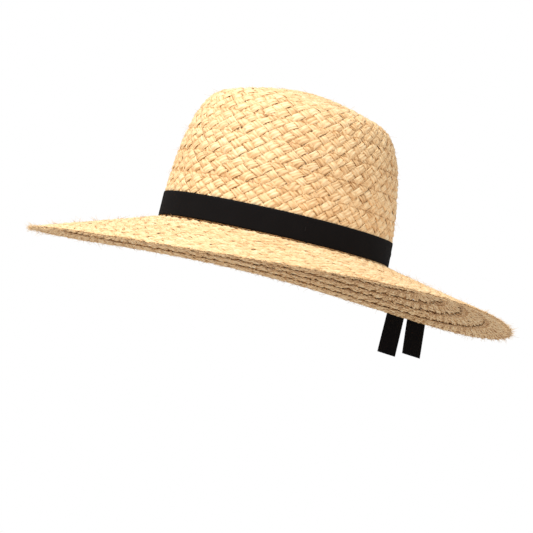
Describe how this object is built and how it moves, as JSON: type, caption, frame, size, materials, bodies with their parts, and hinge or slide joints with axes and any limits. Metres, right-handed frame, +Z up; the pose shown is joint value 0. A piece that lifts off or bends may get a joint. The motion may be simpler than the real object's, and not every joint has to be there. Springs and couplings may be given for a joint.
{
  "type": "straw sun hat",
  "caption": "Wide-brimmed straw sun hat, sewn from one flat plait in a spiral, with a sweatband, a black ribbon band and two ribbon tails hanging over the back of the brim.",
  "frame": {"origin": "centre of the head opening, at the foot of the crown", "axes": "+Z up the crown, +Y towards the back of the hat where the ribbon tails hang, +X towards the wearer's left"},
  "size_m": [0.3741, 0.4086, 0.1881],
  "materials": {
    "straw": "natural plaited straw, satin",
    "sweatband_tape": "woven cotton tape, matte",
    "sweatband_thread": "cotton thread, matte",
    "ribbon": "black grosgrain ribbon, matte with a slight sheen",
    "ribbon_thread": "black thread, matte"
  },
  "bodies": {
    "hat": {"crown_row_1": "straw", "crown_row_2": "straw", "crown_row_3": "straw", "crown_row_4": "straw", "crown_row_5": "straw", "crown_row_6": "straw", "crown_row_7": "straw", "crown_row_8": "straw", "crown_row_9": "straw", "crown_button": "straw", "brim_row_1": "straw", "brim_row_2": "straw", "brim_row_3": "straw", "brim_row_4": "straw", "brim_row_5": "straw", "brim_row_6": "straw", "sweatband": "sweatband_tape", "sweatband_stitches": "sweatband_thread", "hat_band": "ribbon", "band_tacks": "ribbon_thread", "band_keeper": "ribbon"},
    "left_tail": {"left_tail": "ribbon"},
    "left_tail_end": {"left_tail_end": "ribbon"},
    "right_tail": {"right_tail": "ribbon"},
    "right_tail_end": {"right_tail_end": "ribbon"}
  },
  "joints": [
    {"name": "left_tail_lift", "type": "hinge", "parent": "hat", "child": "left_tail", "pos_m": [0, 0.1057, -0.00019], "axis": [1, 0, 0], "range_deg": [0, 100]},
    {"name": "left_tail_swing", "type": "hinge", "parent": "left_tail", "child": "left_tail_end", "pos_m": [0, 0.21044, -0.03107], "axis": [1, 0, 0], "range_deg": [-20, 150]},
    {"name": "right_tail_lift", "type": "hinge", "parent": "hat", "child": "right_tail", "pos_m": [0, 0.1057, -0.00018], "axis": [1, 0, 0], "range_deg": [0, 100]},
    {"name": "right_tail_swing", "type": "hinge", "parent": "right_tail", "child": "right_tail_end", "pos_m": [0, 0.21044, -0.02942], "axis": [1, 0, 0], "range_deg": [-20, 150]}
  ]
}
